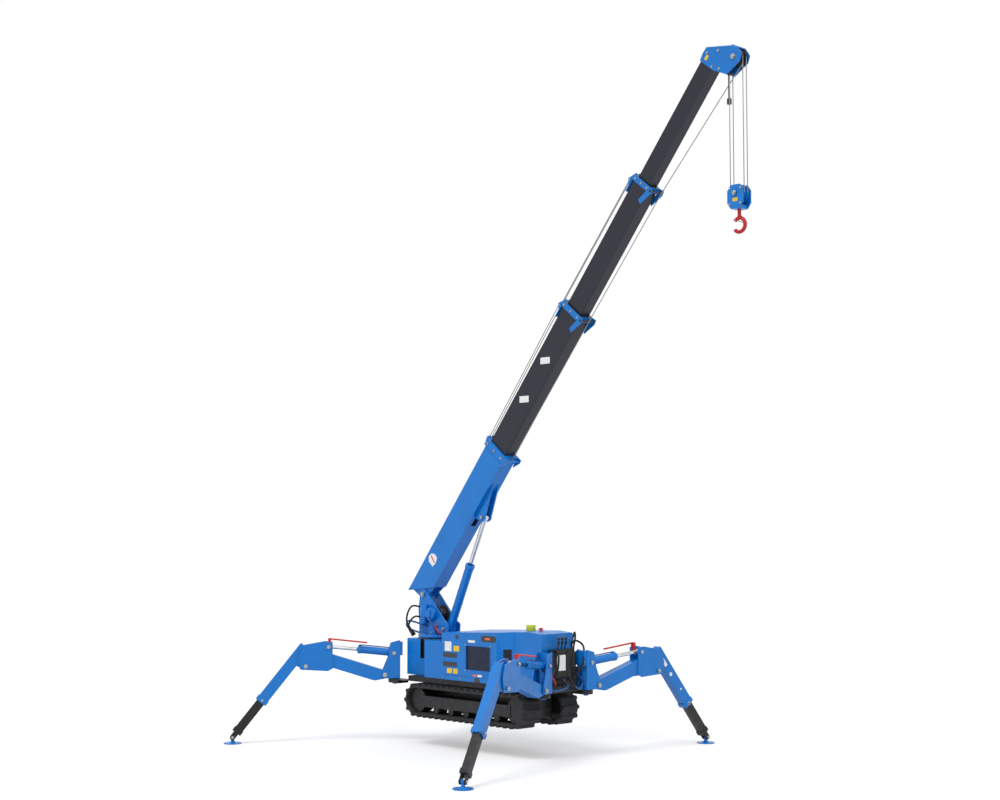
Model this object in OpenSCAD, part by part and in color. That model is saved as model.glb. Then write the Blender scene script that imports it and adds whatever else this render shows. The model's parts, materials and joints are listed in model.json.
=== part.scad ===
// Spider crane: a small tracked crane standing on four folding outriggers.
// Units are millimetres. +X runs from the crane column to the control end,
// +Y is the far side, +Z is up and z = 0 is the ground under the feet.

/* [Stance] */
// Distance from the machine centre to the outrigger posts along X
post_x = 882; // [700:1:1100]
// Distance from the centre line to the outrigger posts
post_y = 235; // [180:1:320]
// Swing of the column-end outriggers from the long axis, degrees
swing_front = 53; // [20:1:90]
// Swing of the near control-end outrigger, degrees
swing_rear_left = 69; // [20:1:90]
// Swing of the far control-end outrigger, degrees
swing_rear_right = 86; // [20:1:90]

/* [Outrigger] */
// Height of the arm pivot
pivot_z = 556; // [500:1:650]
// Distance of the arm pivot from the post axis
pivot_r = 85; // [70:1:120]
// Slope of the leg below the horizontal, degrees
leg_slope = 51.6; // [40:0.1:70]
// Length of the outer leg box
sleeve_length = 582; // [450:1:700]
// Part of the inner leg that is drawn out
leg_out = 303; // [60:1:340]
// Depth of the outer leg box
sleeve_depth = 90; // [70:1:110]
// Width of the outer leg box
sleeve_width = 72; // [60:1:90]
// Bore radius of the lift cylinder barrel
lift_radius = 31; // [24:1:36]
// Diameter of the foot plate
foot_diameter = 146; // [110:1:200]

/* [Boom] */
// Boom elevation as it stands, degrees
boom_angle = 50.9; // [0:0.1:78]
// Height of the boom pivot
boom_pivot_z = 1222; // [1100:1:1350]
// Depth of the base section
base_depth = 236; // [200:1:260]
// Width of the base section
base_width = 138; // [120:1:170]
// Distance from the pivot to the base collar
base_length = 1500; // [1200:1:1700]
// Distance from the pivot to the collar of section two
reach_2 = 2850; // [1700:1:2900]
// Distance from the pivot to the collar of section three
reach_3 = 4000; // [1900:1:4100]
// Distance from the pivot to the head sheave axle
reach_head = 5135; // [2100:1:5200]
// Drop of the hook block below the head sheaves
hook_drop = 913; // [350:1:1200]

/* [Body] */
// Centre of the slewing column along X
column_x = -604; // [-700:1:-500]
// Width of the machine over the hood
body_width = 540; // [460:1:600]
// Height of the hood bottom
hood_bottom = 560; // [520:1:600]
// Height of the hood top at the control end
hood_top = 975; // [850:1:1000]

/* [Tracks] */
// Width of a track shoe
track_width = 180; // [150:1:220]
// Height of the lug tips under the lifted track
track_bottom = 235; // [150:1:300]
// Radius over the lugs at the track ends
track_radius = 137; // [110:1:150]
// Distance between the two wheel axles of a track
track_axles = 1162; // [900:1:1300]
// Number of lugs on one track
track_lugs = 42; // [30:1:50]

/* [Hidden] */
curve = 48;
fit = 0.3;
blue = [0.05, 0.45, 0.85];
black = [0.05, 0.05, 0.06];
dark = [0.12, 0.13, 0.15];
steel = [0.7, 0.7, 0.72];
red = [0.8, 0.05, 0.08];
foot_r = 1340;
knee_r = 743;
knee_z = 632;
cyl_r = 10;
cyl_z = 735;
rod_r = 555;
rod_z = 790;
leg_top_r = 751;
ankle_z = 52;
arm_half = 41;
cheek = 10;
pivot_off = -104;
boom_h = 60;
boom_wall = 4;
width_2 = base_width - 19;
width_3 = width_2 - 19;
width_4 = width_3 - 19;
depth_2 = base_depth - 30;
depth_3 = depth_2 - 34;
depth_4 = depth_3 - 34;
tail_2 = base_length - 130;
tail_3 = reach_2 - 330;
tail_4 = reach_3 - 265;
leg_wall = 4;
inner_width = sleeve_width - 19;
inner_depth = sleeve_depth - 19;
leg_end = sleeve_length + leg_out;
ankle_t = leg_end + 62;
hood_front = 935;
leg_top_z = ankle_z + ankle_t * sin(leg_slope);
track_mid = 32;
track_z = track_bottom + track_radius;
luff_pin_r = 155;
luff_pin_z = 945;
luff_t = 934;
luff_h = -129;
head_h = -125;
foot_x = post_x + foot_r * cos(swing_front);
head_x = column_x + pivot_off + reach_head * cos(boom_angle) - head_h * sin(boom_angle);
ox = (foot_x - head_x) / 2;
oy = -(foot_r * (sin(swing_rear_right) - sin(swing_rear_left))) / 2;
body_half = body_width / 2;
lift_tilt = atan2(rod_z - cyl_z, rod_r - cyl_r);
lift_span = norm([rod_r - cyl_r, rod_z - cyl_z]);
luff_r2 = pivot_off + luff_t * cos(boom_angle) - luff_h * sin(boom_angle);
luff_z2 = boom_pivot_z + luff_t * sin(boom_angle) + luff_h * cos(boom_angle);
luff_tilt = atan2(luff_z2 - luff_pin_z, luff_r2 - luff_pin_r);
luff_span = norm([luff_r2 - luff_pin_r, luff_z2 - luff_pin_z]);
ankle_r = leg_top_r + ankle_t * cos(leg_slope);
legs = [["fl", -1, -1, 180 + swing_front], ["fr", -1, 1, 180 - swing_front],
        ["rl", 1, -1, -swing_rear_left], ["rr", 1, 1, swing_rear_right]];

// A bar along local X with a rectangular section
module bar(x0, x1, y, z, w, d) translate([x0, y - w / 2, z - d / 2]) cube([x1 - x0, w, d]);

// A rod along Y
module pin(x, z, r, w) translate([x, w / 2, z]) rotate([90, 0, 0]) cylinder(r=r, h=w, $fn=curve);

// A plate in the XZ plane between y0 and y1
module plate(pts, y0, y1) translate([0, y1, 0]) rotate([90, 0, 0]) linear_extrude(y1 - y0) polygon(pts);

// A pin in two stubs, from y0 to y1 on both sides, that leaves the space of a drifting rod eye free
module stubs(x, z, r, y0, y1) for (s = [-1, 1]) translate([0, s * (y0 + y1) / 2, 0]) pin(x, z, r, y1 - y0);

// The same plate on both sides of the centre plane
module plates(pts, y0, y1) {
    plate(pts, y0, y1);
    plate(pts, -y1, -y0);
}

// Slide pads on the tail of an inner section: its width and depth, then the half sizes that they run in
module tail_pads(x, length, z, w, d, side, top, pad_w, pad_d) for (s = [-1, 1]) {
    bar(x, x + length, s * (w / 2 - 0.5 + side) / 2, z, side - w / 2 + 0.5, pad_d);
    bar(x, x + length, 0, z + s * (d / 2 - 0.5 + top) / 2, pad_w, top - d / 2 + 0.5);
}

module machine() translate([ox, oy, 0]) children();

module at_post(i) machine() translate([legs[i][1] * post_x, legs[i][2] * post_y, 0])
    rotate([0, 0, legs[i][3]]) children();

module at_column() machine() translate([column_x, 0, 0]) children();

module at_boom() at_column() translate([pivot_off, 0, boom_pivot_z]) rotate([0, -boom_angle, 0]) children();

module at_head() at_boom() translate([reach_head, 0, head_h]) rotate([0, boom_angle, 0]) children();

module at_leg() translate([leg_top_r, 0, leg_top_z]) rotate([0, leg_slope, 0]) children();

// Outrigger pieces, drawn in the plane of the leg with the post axis at x = 0

module post() {
    color(blue) difference() {
        union() {
            cylinder(r=34, h=165, $fn=curve);
            translate([0, 0, 0]) plates([[-42, 0], [70, 0], [100, 4], [116, 24], [112, 46], [60, 170],
                [48, 250], [36, 290], [-42, 310]], 47, 47 + cheek);
            translate([-42, -52, 0]) cube([60, 104, 14]);
            translate([-62, -50, 190]) cube([24, 100, 110]);
        }
        pin(pivot_r, pivot_z - 526, 17, 200);
        pin(cyl_r, cyl_z - 526, 15, 200);
    }
    color(steel) difference() {
        union() {
            pin(pivot_r, pivot_z - 526, 17, 124);
            pin(cyl_r, cyl_z - 526, 15, 124);
            translate([0, 0, -48]) cylinder(r=20, h=60, $fn=curve);
        }
    }
}

module arm() {
    color(blue) difference() {
        union() {
            plate([[540, 732], [110, 598], [66, 597], [46, 575], [46, 545], [66, 527], [165, 508], [195, 514],
                [540, 622]], -arm_half, arm_half);
            plates([[522, 826], [582, 833], [772, 800], [812, 700], [790, 604], [560, 590], [520, 610]],
                arm_half, arm_half + cheek);
        }
        plate([[560, 722], [120, 584], [120, 530], [196, 530], [560, 638]], -arm_half + 6, arm_half - 6);
        pin(pivot_r, pivot_z, 17 + fit, 200);
        pin(knee_r, knee_z, 15, 200);
        pin(rod_r, rod_z, 14, 200);
    }
    color(steel) {
        pin(knee_r, knee_z, 15, 116);
        stubs(rod_r, rod_z, 14, 27, 56);
    }
}

module lift_barrel() color(blue) translate([cyl_r, 0, cyl_z]) rotate([0, -lift_tilt, 0]) difference() {
    union() {
        pin(0, 0, 27, 60);
        translate([12, 0, 0]) rotate([0, 90, 0]) cylinder(r=lift_radius, h=288, $fn=curve);
        translate([276, 0, 0]) rotate([0, 90, 0]) cylinder(r=lift_radius + 3, h=28, $fn=curve);
    }
    pin(0, 0, 15 + fit, 100);
    translate([30, 0, 0]) rotate([0, 90, 0]) cylinder(r=lift_radius - 6, h=250, $fn=curve);
    translate([30, 0, 0]) rotate([0, 90, 0]) cylinder(r=16 + fit, h=400, $fn=curve);
}

module lift_rod() color(steel) translate([cyl_r, 0, cyl_z]) rotate([0, -lift_tilt, 0]) difference() {
    union() {
        translate([lift_span - 300, 0, 0]) rotate([0, 90, 0]) cylinder(r=16, h=290, $fn=curve);
        pin(lift_span, 0, 23, 50);
    }
    pin(lift_span, 0, 14 + fit, 100);
}

module leg() at_leg() color(blue) difference() {
    union() {
        bar(0, sleeve_length, 0, 0, sleeve_width, sleeve_depth);
        plates([[20, -40], [70, -112], [112, -132], [146, -118], [160, -90], [170, -40]], 26, 36);
        bar(sleeve_length - 40, sleeve_length, 0, 0, sleeve_width + 10, sleeve_depth + 12);
    }
    bar(8, sleeve_length - 30, 0, 0, sleeve_width - 2 * leg_wall, sleeve_depth - 2 * leg_wall);
    bar(8, sleeve_length + 10, 0, 0, inner_width + 2 * fit, inner_depth + 2 * fit);
    pin(knee_a, -knee_b, 15 + fit, 200);
}
knee_d = [knee_r - leg_top_r, knee_z - leg_top_z];
knee_a = knee_d[0] * cos(leg_slope) - knee_d[1] * sin(leg_slope);
knee_b = -(knee_d[0] * sin(leg_slope) + knee_d[1] * cos(leg_slope));

module inner_leg() at_leg() {
    color(black) difference() {
        bar(leg_end - 540, leg_end, 0, 0, inner_width, inner_depth);
        bar(leg_end - 560, leg_end - 20, 0, 0, inner_width - 12, inner_depth - 12);
    }
    color(dark) tail_pads(leg_end - 540, 30, 0, inner_width, inner_depth, sleeve_width / 2 - leg_wall - fit,
        sleeve_depth / 2 - leg_wall - fit, 36, 50);
    color(blue) difference() {
        union() {
            bar(leg_end - 24, leg_end + 14, 0, 0, sleeve_width - 2 * leg_wall, sleeve_depth - 2 * leg_wall);
            bar(leg_end + 10, ankle_t, 21, 0, 9, 44);
            bar(leg_end + 10, ankle_t, -21, 0, 9, 44);
            pin(ankle_t, 0, 22, 51);
        }
        pin(ankle_t, 0, 9, 100);
        translate([ankle_t, 0, 0]) pin(0, 0, 30, 33);
    }
}

module foot() translate([ankle_r, 0, 0]) color(blue) {
    cylinder(r=foot_diameter / 2, h=8, $fn=curve);
    cylinder(r1=40, r2=13, h=24, $fn=curve);
    cylinder(r=13, h=ankle_z, $fn=curve);
    pin(0, ankle_z, 15, 20);
    pin(0, ankle_z, 8, 50);
}

// Slewing column, winch and luffing cylinder

module column() color(blue) {
    difference() {
        union() {
            translate([0, 0, 872]) cylinder(r=165, h=22, $fn=64);
            plates([[-150, 885], [200, 885], [206, 985], [150, 1020], [-64, 1240], [-90, 1262], [-122, 1262],
                [-150, 1240], [-172, 1090]], 56, 70);
            translate([-160, -70, 885]) cube([16, 140, 150]);
        }
        pin(pivot_off, boom_pivot_z, 18, 300);
        pin(luff_pin_r, luff_pin_z, 16, 300);
    }
    pin(pivot_off, boom_pivot_z, 17, 160);
    pin(luff_pin_r, luff_pin_z, 15, 152);
}

module winch_drum() color(dark) {
    pin(20, 1065, 45, 96);
    for (s = [-1, 1]) translate([0, s * 44, 0]) pin(20, 1065, 70, 8);
    pin(20, 1065, 16, 112 - 2 * fit);
}

module winch_motor() color(blue) {
    translate([20, -70, 1065]) rotate([90, 0, 0]) cylinder(r=52, h=40, $fn=curve);
    translate([-60, -104, 985]) cylinder(r=30, h=150, $fn=curve);
    translate([-60, -120, 1040]) cube([90, 36, 50]);
}

module luff_barrel() color(blue) translate([luff_pin_r, 0, luff_pin_z]) rotate([0, -luff_tilt, 0]) difference() {
    union() {
        pin(0, 0, 34, 70);
        translate([14, 0, 0]) rotate([0, 90, 0]) cylinder(r=36, h=572, $fn=curve);
        translate([556, 0, 0]) rotate([0, 90, 0]) cylinder(r=40, h=32, $fn=curve);
    }
    pin(0, 0, 16, 100);
    translate([44, 0, 0]) rotate([0, 90, 0]) cylinder(r=29, h=700, $fn=curve);
}

module luff_rod() color(steel) translate([luff_pin_r, 0, luff_pin_z]) rotate([0, -luff_tilt, 0]) difference() {
    union() {
        translate([luff_span - 640, 0, 0]) rotate([0, 90, 0]) cylinder(r=19, h=630, $fn=curve);
        pin(luff_span, 0, 26, 44);
    }
    pin(luff_span, 0, 16, 100);
}

// Telescopic boom, drawn along X from the pivot

module tube(x0, x1, w, d) difference() {
    bar(x0, x1, 0, boom_h, w, d);
    bar(x0 - 1, x1 + 1, 0, boom_h, w - 2 * boom_wall, d - 2 * boom_wall);
}

module boom_base() color(blue) {
    difference() {
        union() {
            tube(-110, base_length, base_width, base_depth);
            difference() {
                bar(base_length - 60, base_length, 0, boom_h, base_width + 24, base_depth + 24);
                bar(base_length - 61, base_length + 1, 0, boom_h, width_2 + 2 * fit, depth_2 + 2 * fit);
            }
            plates([[luff_t - 60, -56], [luff_t - 32, luff_h - 20], [luff_t, luff_h - 36],
                [luff_t + 36, luff_h - 20], [luff_t + 300, -56]], 26, 38);
            stubs(luff_t, luff_h, 16 - fit, 22 + fit, 45);
        }
        bar(luff_t - 150, luff_t + 60, 0, boom_h - base_depth / 2, 50, 16);
        bar(base_length - 70, base_length + 10, 0, boom_h, width_2 + 2 * fit, depth_2 + 2 * fit);
        plate([[-300, -200], [128, -200], [127, -58], [-107, 178], [-300, 340]], -200, 200);
    }
    plate([[127, -58], [140, -58], [-94, 178], [-107, 178]], -base_width / 2, base_width / 2);
    difference() {
        union() {
            plates([[-25, -31], [25, -33], [122, -57], [130, -56], [-70, 146], [-62, 60]], 40, 52);
            for (s = [-1, 1]) translate([0, s * (53.5 - fit / 2), 0]) pin(0, 0, 29, 5 - fit);
        }
        pin(0, 0, 17 + fit, 200);
    }
}

module boom_2() color(black) {
    tube(tail_2, reach_2, width_2, depth_2);
    color(blue) difference() {
        bar(reach_2 - 45, reach_2, 0, boom_h, width_2 + 20, depth_2 + 22);
        bar(reach_2 - 46, reach_2 + 1, 0, boom_h, width_3 + 2 * fit, depth_3 + 2 * fit);
    }
    color(dark) tail_pads(tail_2 + 14, 40, boom_h, width_2, depth_2, base_width / 2 - boom_wall - fit,
        base_depth / 2 - boom_wall - fit, 80, 80);
}

module boom_3() color(black) {
    tube(tail_3, reach_3, width_3, depth_3);
    color(blue) difference() {
        bar(reach_3 - 42, reach_3, 0, boom_h, width_3 + 18, depth_3 + 20);
        bar(reach_3 - 43, reach_3 + 1, 0, boom_h, width_4 + 2 * fit, depth_4 + 2 * fit);
    }
    color(dark) tail_pads(tail_3, 40, boom_h, width_3, depth_3, width_2 / 2 - boom_wall - fit,
        depth_2 / 2 - boom_wall - fit, 60, 80);
}

module boom_4() {
    color(black) tube(tail_4, reach_head - 130, width_4, depth_4);
    color(dark) tail_pads(tail_4, 40, boom_h, width_4, depth_4, width_3 / 2 - boom_wall - fit,
        depth_3 / 2 - boom_wall - fit, 60, 80);
    color(blue) {
        bar(reach_head - 160, reach_head - 124, 0, boom_h, width_4 + 11, depth_4 + 10);
        translate([reach_head, 0, head_h]) {
            plates([[-165, 256], [-110, 266], [-60, 262], [52, 70], [68, 0], [52, -50], [0, -68], [-50, -50],
                [-130, -22], [-165, 110]], 42, 50);
            pin(0, 0, 13 - fit, 110);
            plates([[-158, 125], [-126, 125], [weight_t + 12, -8], [weight_t - 12, -8]], 6, 12);
            pin(weight_t, weight_h, 8, 24);
        }
    }
}

// A rope sheave along Y with a round-bottomed groove
module sheave(bore) rotate([90, 0, 0]) rotate_extrude($fn=curve)
    polygon([[bore, -20], [30, -20], [30, -9], [66, -9], [66, -7], [57, -4], [57, 4], [66, 7], [66, 9], [30, 9],
        [30, 20], [bore, 20]]);

module head_sheaves() color(dark) for (s = [-1, 1]) translate([0, s * 20, 0]) sheave(13);

module falls() color(steel) for (s = [-1, 1]) for (t = [-1, 1])
    translate([t * 61, s * 20, -hook_drop - 70]) cylinder(r=3.5, h=hook_drop + 70, $fn=16);

weight_t = -126;
weight_h = 0;
weight_x = weight_t * cos(boom_angle) - weight_h * sin(boom_angle);
weight_z = weight_t * sin(boom_angle) + weight_h * cos(boom_angle);

module rope_weight() color(dark) translate([weight_x, 0, weight_z]) {
    difference() {
        union() {
            pin(0, 0, 15, 10);
            translate([-5, -5, -190]) cube([10, 10, 180]);
        }
        pin(0, 0, 8 + fit, 20);
    }
    translate([0, 0, -225]) cylinder(r=17, h=40, $fn=curve);
}

module hook_block() translate([0, 0, -hook_drop - 70]) color(blue) {
    plates([[-40, 60], [40, 60], [70, 20], [70, -70], [40, -110], [-40, -110], [-70, -70], [-70, 20]], 40, 48);
    difference() {
        translate([-40, -48, -112]) cube([80, 96, 26]);
        translate([0, 0, -120]) cylinder(r=13 + fit, h=60, $fn=curve);
    }
    pin(0, 0, 14, 110);
    for (s = [-1, 1]) translate([0, s * 20, 0]) sheave(10);
}

module hook() translate([0, 0, -hook_drop - 70]) color(red) {
    translate([0, 0, -160]) cylinder(r=13, h=78, $fn=curve);
    translate([0, 0, -86 + fit]) cylinder(r=19, h=11, $fn=curve);
    translate([0, 0, -224]) rotate([90, 0, 0]) rotate([0, 0, -140]) rotate_extrude(angle=280, $fn=curve)
        translate([50, 0]) circle(r=14, $fn=24);
    translate([0, 0, -184]) cylinder(r=15, h=30, $fn=curve);
}

// Carrier

module chassis() color(black) {
    translate([-560, -112, 300]) cube([1190, 224, 230]);
    translate([-690, -250, 515]) cube([1430, 500, 45]);
    for (i = [0:3]) translate([legs[i][1] * post_x, legs[i][2] * post_y, 0]) difference() {
        union() {
            translate([0, 0, 490]) cylinder(r=55, h=31, $fn=curve);
            translate([legs[i][1] > 0 ? -110 : 0, -55, 490]) cube([110, 110, 31]);
            translate([legs[i][1] > 0 ? -200 : 0, -55, 515]) cube([200, 110, 6]);
        }
        translate([0, 0, 480]) cylinder(r=20 + fit, h=60, $fn=curve);
    }
    translate([column_x, 0, 515]) cylinder(r=150, h=357 - fit, $fn=64);
}

belt_r = track_radius - 18;
belt_length = 2 * track_axles + 2 * PI * belt_r;
belt_arc = PI * belt_r;

// Point at distance s along the belt, v outside its face, going round from the lower left
function belt_point(s, u, v) =
    s < track_axles ? [-track_axles / 2 + s + u, -belt_r - v]
    : s < track_axles + belt_arc ? let(a = -90 + (s - track_axles) / belt_arc * 180)
        [track_axles / 2 + (belt_r + v) * cos(a) - u * sin(a), (belt_r + v) * sin(a) + u * cos(a)]
    : s < 2 * track_axles + belt_arc ? [track_axles / 2 - (s - track_axles - belt_arc) - u, belt_r + v]
    : let(a = 90 + (s - 2 * track_axles - belt_arc) / belt_arc * 180)
        [-track_axles / 2 + (belt_r + v) * cos(a) - u * sin(a), (belt_r + v) * sin(a) + u * cos(a)];

module track_void() {
    for (s = [-1, 1]) translate([s * track_axles / 2, 0]) circle(r=belt_r - 20, $fn=96);
    translate([-track_axles / 2, 20 - belt_r]) square([track_axles, 2 * (belt_r - 20)]);
}

module track(side) translate([track_mid, side * 210 + track_width / 2, track_z]) rotate([90, 0, 0])
    color(black) linear_extrude(track_width) difference() {
        polygon([for (i = [0:track_lugs - 1]) for (q = [[-19, 0], [-11, 18], [11, 18], [19, 0]])
            belt_point((i + 0.5) * belt_length / track_lugs, q[0], q[1])]);
        track_void();
    }

module track_frame(side) translate([track_mid, side * 210, track_z]) color(dark) {
    bar(-track_axles / 2 + 60, track_axles / 2 - 60, 0, -6, 120, 90);
    for (s = [-1, 1]) pin(s * track_axles / 2, 0, belt_r - 20 - fit, 110);
    for (k = [-2:2]) pin(k * 180, 52 + fit - belt_r, 32, 100);
    for (s = [-1, 1]) translate([s * 300 - 30, side > 0 ? -98 : 60, -30]) cube([60, 38, 60]);
}

hood_plan = [[-250, -body_half], [400, -body_half], [490, -172], [800, -172], [800, 172], [490, 172],
    [400, body_half], [-250, body_half]];

// Side view of the space over the sloping hood top, lowered by d
module over_hood(d) plate([[-260, hood_front - d], [665, hood_top - d], [900, hood_top - 20 - d], [900, 1100], [-260, 1100]],
    -300, 300);

module hood() color(blue) difference() {
    translate([0, 0, hood_bottom]) linear_extrude(hood_top - hood_bottom) polygon(hood_plan);
    over_hood(0);
    difference() {
        translate([0, 0, hood_bottom - 10]) linear_extrude(hood_top - hood_bottom + 4)
            polygon([[-245, -body_half + 5], [397, -body_half + 5], [487, -167], [795, -167], [795, 167],
                [487, 167], [397, body_half - 5], [-245, body_half - 5]]);
        over_hood(5);
    }
    translate([45, -body_half - 10, 655]) cube([281, 40, 187]);
    translate([45, body_half - 30, 655]) cube([281, 40, 187]);
}

module engine() color(dark) translate([-180, -190, hood_bottom]) cube([560, 380, 260]);

module front_housing() color(blue) difference() {
    translate([0, 0, hood_bottom]) linear_extrude(300) polygon([[-800, -170], [-500, -170], [-480, -255],
        [-262, -255], [-262, 255], [-480, 255], [-500, 170], [-800, 170]]);
    translate([0, 0, hood_bottom - 1]) linear_extrude(296) polygon([[-795, -165], [-497, -165], [-477, -250],
        [-267, -250], [-267, 250], [-477, 250], [-497, 165], [-795, 165]]);
    translate([column_x, 0, 700]) cylinder(r=172, h=300, $fn=64);
}

module rear_box() color(black) {
    translate([806, -160, 530]) cube([60, 320, 175]);
    translate([822, -110, 700]) cube([40, 220, 145]);
    translate([740, -160, 515]) cube([130, 320, 20]);
}

module levers() color(black) for (k = [0:2]) translate([845, -40 + 40 * k, 846]) {
    rotate([0, 12, 0]) cylinder(r=4, h=80, $fn=16);
    translate([17, 0, 84]) sphere(r=13, $fn=24);
}

module beacon() color([0.7, 0.8, 0.05])
    translate([510, 0, hood_front + (hood_top - hood_front) * (510 + 38 + 260) / 925]) cylinder(r=38, h=48, $fn=curve);

machine() chassis();
machine() track(-1);  // track_left
machine() track(1);  // track_right
machine() track_frame(-1);  // track_frame_left
machine() track_frame(1);  // track_frame_right
machine() hood();
machine() engine();
machine() front_housing();
machine() rear_box();
machine() levers();
machine() beacon();
at_column() column();
at_column() winch_drum();
at_column() winch_motor();
at_column() luff_barrel();
at_column() luff_rod();
at_boom() boom_base();
at_boom() boom_2();
at_boom() boom_3();
at_boom() boom_4();
at_head() head_sheaves();
at_head() falls();
at_head() rope_weight();
at_head() hook_block();
at_head() hook();
at_post(0) translate([0, 0, 526]) post();  // post_fl
at_post(0) arm();  // arm_fl
at_post(0) lift_barrel();  // lift_barrel_fl
at_post(0) lift_rod();  // lift_rod_fl
at_post(0) leg();  // leg_fl
at_post(0) inner_leg();  // inner_leg_fl
at_post(0) foot();  // foot_fl
at_post(1) translate([0, 0, 526]) post();  // post_fr
at_post(1) arm();  // arm_fr
at_post(1) lift_barrel();  // lift_barrel_fr
at_post(1) lift_rod();  // lift_rod_fr
at_post(1) leg();  // leg_fr
at_post(1) inner_leg();  // inner_leg_fr
at_post(1) foot();  // foot_fr
at_post(2) translate([0, 0, 526]) post();  // post_rl
at_post(2) arm();  // arm_rl
at_post(2) lift_barrel();  // lift_barrel_rl
at_post(2) lift_rod();  // lift_rod_rl
at_post(2) leg();  // leg_rl
at_post(2) inner_leg();  // inner_leg_rl
at_post(2) foot();  // foot_rl
at_post(3) translate([0, 0, 526]) post();  // post_rr
at_post(3) arm();  // arm_rr
at_post(3) lift_barrel();  // lift_barrel_rr
at_post(3) lift_rod();  // lift_rod_rr
at_post(3) leg();  // leg_rr
at_post(3) inner_leg();  // inner_leg_rr
at_post(3) foot();  // foot_rr
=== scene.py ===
"""Looks of the spider crane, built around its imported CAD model.

Pieces are drawn in millimetres in the local frame of what carries them (machine, post, leg,
boom, head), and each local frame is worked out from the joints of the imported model.
"""

import json
import math

import bpy
from mathutils import Matrix, Vector


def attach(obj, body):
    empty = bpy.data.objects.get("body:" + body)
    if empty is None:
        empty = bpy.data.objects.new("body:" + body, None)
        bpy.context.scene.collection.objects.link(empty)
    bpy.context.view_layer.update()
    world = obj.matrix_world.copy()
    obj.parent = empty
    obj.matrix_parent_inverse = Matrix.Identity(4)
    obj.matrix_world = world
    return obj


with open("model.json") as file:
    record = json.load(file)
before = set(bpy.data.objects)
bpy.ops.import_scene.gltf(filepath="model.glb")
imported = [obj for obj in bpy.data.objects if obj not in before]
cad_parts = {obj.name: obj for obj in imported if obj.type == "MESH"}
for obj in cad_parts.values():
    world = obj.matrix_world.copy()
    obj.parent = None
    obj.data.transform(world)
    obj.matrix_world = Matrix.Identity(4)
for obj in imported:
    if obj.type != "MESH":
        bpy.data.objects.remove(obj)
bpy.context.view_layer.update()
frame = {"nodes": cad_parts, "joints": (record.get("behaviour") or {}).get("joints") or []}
NODES = frame["nodes"]
JOINTS = {joint["name"]: joint for joint in frame["joints"]}

# Driving sizes in millimetres, as in the model

COLUMN_X = -604
HALF_BODY = 270
BOOM_H = 60
BASE_LENGTH = 1500
REACH_2 = 2850
REACH_3 = 4000
REACH_HEAD = 5135
HEAD_H = -125
HOOK_DROP = 913
HOOD_BOTTOM = 560
LEG_TOP = (751, 794.15)
SLEEVE = 582
LEG_OUT = 303
LEGS = ("fl", "fr", "rl", "rr")

# Camera of the photograph, in metres and degrees

CAMERA_AT = (9.2765, -9.0788, 1.797)
CAMERA_TURN = 46.71
CAMERA_PITCH = 4.425
FOCAL_PIXELS = 1625
PHOTO_WIDTH = 1000


# Local frames

def joint_at(name):
    return Vector(JOINTS[name]["pos_m"])


def joint_axis(name):
    return Vector(JOINTS[name]["axis"]).normalized()


def local_frame(origin, x_axis=(1, 0, 0), y_axis=(0, 1, 0)):
    """Matrix from millimetres along these axes to metres in the row's frame."""
    x, y = Vector(x_axis).normalized(), Vector(y_axis).normalized()
    z = x.cross(y)
    turn = Matrix((x, y, z)).transposed().to_4x4()
    return Matrix.Translation(Vector(origin)) @ turn @ Matrix.Scale(0.001, 4)


def post_frame(leg):
    post = joint_at(f"swing_{leg}")
    post.z = 0
    out = joint_at(f"arm_lift_{leg}") - joint_at(f"swing_{leg}")
    out.z = 0
    return local_frame(post, out, Vector((0, 0, 1)).cross(out))


def leg_frame(leg):
    """X runs down the leg from its top, Z to its upper face."""
    post = post_frame(leg)
    top = post @ Vector((LEG_TOP[0], 0, LEG_TOP[1]))
    down = -joint_axis(f"leg_extend_{leg}")
    return local_frame(top, down, post.col[1].to_3d())


SLEW = joint_at("slew")
MACHINE = local_frame((SLEW.x - COLUMN_X / 1000, SLEW.y, 0))
COLUMN = local_frame((SLEW.x, SLEW.y, 0))
BOOM = local_frame(joint_at("boom_luff"), -joint_axis("boom_retract"))
HEAD = local_frame(joint_at("falls_plumb"))
BOOM_ANGLE = math.degrees(math.asin(-joint_axis("boom_retract").z))


# Shapes

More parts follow.
